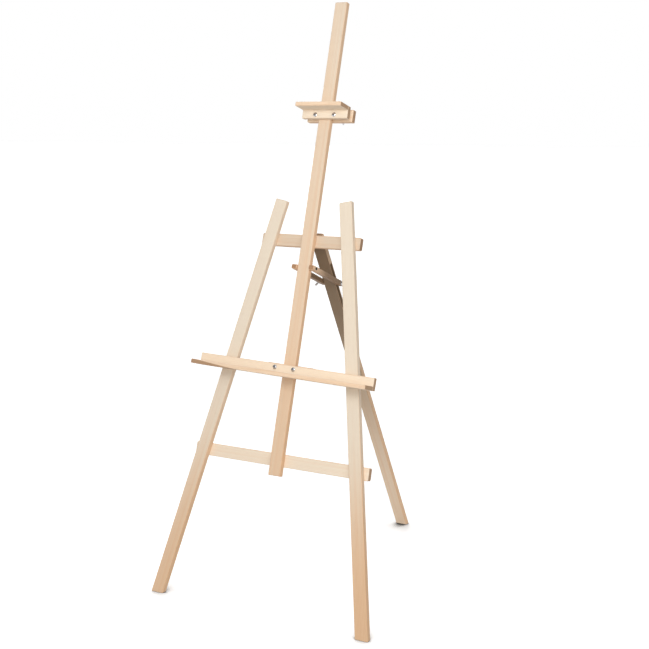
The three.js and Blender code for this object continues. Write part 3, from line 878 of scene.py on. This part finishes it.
class EASEL_OT_crossbars(bpy.types.Operator):
    """Make the upper and lower crossbars"""

    bl_idname = "easel.crossbars"
    bl_label = "Crossbars"

    def execute(self, context):
        sizes = context.scene.easel_sizes
        for node in ("upper_crossbar", "lower_crossbar"):
            beam = Beam(node, X, UP)
            make_wooden(beam, beam.body(sizes.wood_edge, corner=sizes.bar_corner))
        return {"FINISHED"}


class EASEL_OT_rear_leg(bpy.types.Operator):
    """Make the rear leg, with the long slot for the brace bolt through its sides"""

    bl_idname = "easel.rear_leg"
    bl_label = "Rear Leg"

    def execute(self, context):
        sizes = context.scene.easel_sizes
        beam = Beam("rear_leg", REAR_UP, X)
        middle = sizes.slot_from_hinge + sizes.slot_length / 2
        up_from_centre = float((joint_place("rear_leg_fold") - beam.centre) @ REAR_UP) - middle
        half = sizes.slot_width / 2
        points, normals = rounded_rectangle(sizes.slot_length / 2, half, half)
        hole = (points + [up_from_centre, 0.0], normals)
        make_wooden(beam, level_foot(beam, beam.body(sizes.wood_edge, through=1, hole=hole)))
        return {"FINISHED"}


class EASEL_OT_brace_strips(bpy.types.Operator):
    """Make the two brace strips that hold the rear leg at its angle"""

    bl_idname = "easel.brace_strips"
    bl_label = "Brace Strips"

    def execute(self, context):
        sizes = context.scene.easel_sizes
        for node in ("left_brace_strip", "right_brace_strip"):
            beam = Beam(node, STRIP, np.cross(X, STRIP))
            make_wooden(beam, beam.body(sizes.strip_edge, corner=sizes.strip_corner))
        return {"FINISHED"}


class EASEL_OT_tray(bpy.types.Operator):
    """Make the canvas tray: its board, its ledge with a brown band, and the bar behind"""

    bl_idname = "easel.tray"
    bl_label = "Tray"

    def execute(self, context):
        edge = context.scene.easel_sizes.wood_edge
        for node, across in (("tray_board", TRAY_UP), ("tray_ledge", BACK), ("tray_back_bar", TRAY_UP)):
            beam = Beam(node, TRAY_ALONG, across)
            make_wooden(beam, beam.body(edge))
        return {"FINISHED"}


class EASEL_OT_clamp(bpy.types.Operator):
    """Make the top clamp: its board, its lip and the bar behind"""

    bl_idname = "easel.clamp"
    bl_label = "Top Clamp"

    def execute(self, context):
        edge = context.scene.easel_sizes.wood_edge
        for node, across in (("clamp_board", UP), ("clamp_lip", BACK), ("clamp_back_bar", UP)):
            beam = Beam(node, X, across)
            make_wooden(beam, beam.body(edge))
        return {"FINISHED"}


class EASEL_OT_bolts(bpy.types.Operator):
    """Make the domed bolts of the tray, the clamp and the brace, with their threads"""

    bl_idname = "easel.bolts"
    bl_label = "Bolts"

    def execute(self, context):
        sizes = context.scene.easel_sizes
        high, low = 0.0034, 0.0030      # heights of their heads
        bolts = [(f"{holder}_{side}_bolt", BACK, sizes.clamp_bolt, high) for holder, side in CLAMP_BOLTS]
        bolts += [("brace_bolt", -X, sizes.brace_bolt, low)]
        make_fasteners(bolts, lambda bolt, radius, head: bolt_shape(bolt, radius, head, sizes))
        return {"FINISHED"}


class EASEL_OT_wing_nuts(bpy.types.Operator):
    """Make the five wing nuts"""

    bl_idname = "easel.wing_nuts"
    bl_label = "Wing Nuts"

    def execute(self, context):
        sizes = context.scene.easel_sizes
        nuts = [(f"{holder}_{side}_wing_nut", BACK, sizes.clamp_bolt) for holder, side in CLAMP_BOLTS]
        nuts += [("brace_wing_nut", -X, sizes.brace_bolt)]
        play = 0.0002       # between the bolt and the nut's bore
        make_fasteners(nuts, lambda nut, radius: wing_nut_shape(nut, radius + play, sizes))
        return {"FINISHED"}


class EASEL_OT_washers(bpy.types.Operator):
    """Make the washers under the nuts, the brace bolt and the brace strips"""

    bl_idname = "easel.washers"
    bl_label = "Washers"

    def execute(self, context):
        sizes = context.scene.easel_sizes
        pivot = sizes.screw_head / 2        # a screw's shank has half its head's radius
        rings = [(f"{holder}_{side}_washer", BACK, sizes.clamp_bolt) for holder, side in CLAMP_BOLTS]
        rings += [(node, X, sizes.brace_bolt) for node in ("brace_bolt_washer", "brace_nut_washer")]
        rings += [(f"{side}_pivot_washer", X, pivot) for side in ("left", "right")]
        play = 0.0003       # between the bolt and the washer's hole
        make_fasteners(rings, lambda ring, radius: washer_shape(ring, radius + play, sizes.round_steps))
        return {"FINISHED"}


class EASEL_OT_screws(bpy.types.Operator):
    """Make the wood screws of the crossbars, the ledge, the lip, the hinge and the brace's pivots"""

    bl_idname = "easel.screws"
    bl_label = "Screws"

    def execute(self, context):
        sizes, look = context.scene.easel_sizes, context.scene.easel_steel
        head, small_head = sizes.screw_head, sizes.hinge_screw_head
        sunk = [(f"{bar}_bar_{upright}_screw_{number}", -BACK, head)
                for bar in ("upper", "lower") for upright in ("left_leg", "mast", "right_leg")
                for number in (1, 2)]
        sunk += [(f"tray_ledge_screw_{number}", -BACK, head) for number in (1, 2, 3)]
        sunk += [(f"clamp_lip_screw_{number}", -BACK, head) for number in (1, 2)]
        sunk += [(f"hinge_frame_screw_{side}", -BACK, small_head) for side in ("left", "right")]
        sunk += [(f"hinge_leg_screw_{side}", REAR_BACK, small_head) for side in ("left", "right")]
        make_fasteners(sunk, screw_shape)
        # The pivot screws' zinc gets a painted reflection: a colour almost without light, in place of
        # what it reflects
        worn_painted_reflection, roughness, head_rise = tuple(2 * np.array(look.black)), 0.35, 0.0026
        black = steel_finish("blackened_steel", look.black, worn_painted_reflection, roughness)
        pivots = [("left_pivot_screw", X), ("right_pivot_screw", -X)]
        make_fasteners(pivots, lambda screw: screw_shape(screw, head, head_rise), black)
        return {"FINISHED"}


class EASEL_OT_hinge(bpy.types.Operator):
    """Make the hinge: the CAD leaves with rounded edges, and a pin, a circle carried along X to two
    domed ends"""

    bl_idname = "easel.hinge"
    bl_label = "Hinge"

    def execute(self, context):
        sizes = context.scene.easel_sizes
        for node in ("hinge_frame_leaf", "hinge_leg_leaf"):
            faces = [list(face.vertices) for face in frame["nodes"][node].data.polygons]
            leaf = make_piece(node, (node_points(node), faces), shared_steel())
            edge = leaf.modifiers.new("rounded_edges", "BEVEL")
            edge.width = sizes.leaf_edge
            edge.segments = 2
            edge.limit_method = "ANGLE"
            edge.angle_limit = math.radians(40)
        pin, rise = Fastener("hinge_pin", X), 0.0006
        end = dome(pin.radius, rise, 0.0)
        profile = np.concatenate([end + [0, rise], (end * [1, -1])[::-1] + [0, pin.length - rise]])
        make_piece(pin.node, pin.put(turned(profile, sizes.round_steps)), shared_steel())
        return {"FINISHED"}


class EASEL_OT_studio(bpy.types.Operator):
    """Set the pale floor, the white surroundings, the soft lights and the camera"""

    bl_idname = "easel.studio"
    bl_label = "Studio"

    def execute(self, context):
        settings = context.scene.easel_studio
        self.camera(context, settings)
        self.floor(context, settings)
        self.key_light(context, settings)
        for name, (source, spread) in SOFT_LIGHTS.items():
            strength = getattr(settings, f"{name}_strength")
            self.soft_light(context, f"{name}_light", source, spread, strength)
        self.white_room(context, settings)
        context.scene.view_settings.view_transform = "Standard"
        return {"FINISHED"}

    def white_room(self, context, settings):
        """A white room, seen at full brightness. Its own light is stronger from below, as over a white
        floor, than from above."""
        world = bpy.data.worlds.new("white_room")
        world.use_nodes = True
        tree = world.node_tree
        background = tree.nodes["Background"]
        background.inputs["Color"].default_value = (1.0, 1.0, 1.0, 1.0)
        direction = tree.nodes.new("ShaderNodeTexCoord")
        parts = tree.nodes.new("ShaderNodeSeparateXYZ")
        light = self.range_node(tree, -0.25, 0.25, settings.light_from_below, settings.light_from_above)
        seen = tree.nodes.new("ShaderNodeLightPath")
        brightness = self.range_node(tree, 0.0, 1.0, 0.0, 1.0)
        tree.links.new(direction.outputs["Generated"], parts.inputs["Vector"])
        tree.links.new(parts.outputs["Z"], light.inputs["Value"])
        tree.links.new(light.outputs["Result"], brightness.inputs["To Min"])
        tree.links.new(seen.outputs["Is Camera Ray"], brightness.inputs["Value"])
        tree.links.new(brightness.outputs["Result"], background.inputs["Strength"])
        context.scene.world = world

    def range_node(self, tree, low, high, at_low, at_high):
        """A node that turns one range of numbers into another."""
        node = tree.nodes.new("ShaderNodeMapRange")
        values = {"From Min": low, "From Max": high, "To Min": at_low, "To Max": at_high}
        for name, value in values.items():
            node.inputs[name].default_value = value
        return node

    def camera(self, context, settings):
        """A camera that stands at eye height, right of the easel's front."""
        data = bpy.data.cameras.new("camera")
        data.lens = settings.lens
        camera = bpy.data.objects.new("camera", data)
        camera.location = settings.camera_place
        camera.rotation_euler = (math.pi / 2 - settings.camera_drop, 0, settings.camera_turn)
        context.scene.collection.objects.link(camera)
        context.scene.camera = camera

    def floor(self, context, settings):
        """A flat pale floor, far wider than the easel, a little lit from below and darker close to
        what stands on it."""
        half, darkest = 60.0, (0.02, 0.02, 0.02)
        mesh = bpy.data.meshes.new("floor")
        corners = [(-half, -half, 0), (half, -half, 0), (half, half, 0), (-half, half, 0)]
        mesh.from_pydata(corners, [], [(0, 1, 2, 3)])
        recipe = Recipe("pale_floor")
        # Painted contact shadow: ambient occlusion deepens the floor's colour and glow close to what
        # stands on it
        openness = recipe.node("ShaderNodeAmbientOcclusion", {"samples": 8},
                               {"Distance": settings.contact_shadow}, "AO")
        tone = recipe.mix(openness.step(0.35, 0.98), darkest, settings.floor_colour)
        mesh.materials.append(recipe.finish({
            "Base Color": tone, "Roughness": 0.9, "Emission Color": tone,
            "Emission Strength": settings.floor_glow}))
        floor = bpy.data.objects.new("floor", mesh)
        context.scene.collection.objects.link(floor)
        floor.visible_diffuse = False       # it throws no light back up

    def key_light(self, context, settings):
        """A square lamp that stands above the clamp and shines on the mast between clamp and tray."""
        data = bpy.data.lights.new("key_light", "AREA")
        data.size = 0.7
        data.energy = settings.key_power
        place, target = np.array([0.75, -1.75, 1.80]), np.array([0.0, -0.15, 0.95])
        lamp = bpy.data.objects.new("key_light", data)
        lamp.matrix_world = Matrix.Translation(place) @ self.turned_from(place - target)
        context.scene.collection.objects.link(lamp)

    def turned_from(self, away):
        """The turn of a lamp that shines against a direction."""
        away = unit(away)
        side = unit(np.cross([0.0, 1.0, 0.0], away))
        return Matrix(np.array([side, np.cross(away, side), away]).T.tolist()).to_4x4()

    def soft_light(self, context, name, source, spread, strength):
        """Even light from one side, soft because its source spreads over many degrees of the sky."""
        data = bpy.data.lights.new(name, "SUN")
        data.angle = math.radians(spread)
        data.energy = strength
        lamp = bpy.data.objects.new(name, data)
        lamp.matrix_world = self.turned_from(source)
        context.scene.collection.objects.link(lamp)


class EASEL_PT_panel(bpy.types.Panel):
    """Lists the easel's operators in the sidebar"""

    bl_idname = "EASEL_PT_panel"
    bl_label = "Artist Easel"
    bl_space_type = "VIEW_3D"
    bl_region_type = "UI"
    bl_category = "Easel"

    def draw(self, context):
        for operator in OPERATORS:
            self.layout.operator(operator.bl_idname)


OPERATORS = (
    EASEL_OT_studio, EASEL_OT_front_legs, EASEL_OT_mast, EASEL_OT_crossbars, EASEL_OT_rear_leg,
    EASEL_OT_brace_strips, EASEL_OT_tray, EASEL_OT_clamp, EASEL_OT_bolts, EASEL_OT_wing_nuts,
    EASEL_OT_washers, EASEL_OT_screws, EASEL_OT_hinge,
)
GROUPS = {
    "easel_sizes": EaselSizes,
    "easel_wood": WoodFinish,
    "easel_steel": SteelFinish,
    "easel_studio": StudioSettings,
}


def register():
    for kind in (*GROUPS.values(), *OPERATORS, EASEL_PT_panel):
        bpy.utils.register_class(kind)
    for name, kind in GROUPS.items():
        setattr(bpy.types.Scene, name, PointerProperty(type=kind))


def unregister():
    for name in GROUPS:
        delattr(bpy.types.Scene, name)
    for kind in (EASEL_PT_panel, *OPERATORS[::-1], *GROUPS.values()):
        bpy.utils.unregister_class(kind)


def main():
    """Makes the whole scene."""
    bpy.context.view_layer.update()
    register()
    for operator in OPERATORS:
        group, name = operator.bl_idname.split(".")
        getattr(getattr(bpy.ops, group), name)()


if __name__ == "__main__":
    main()
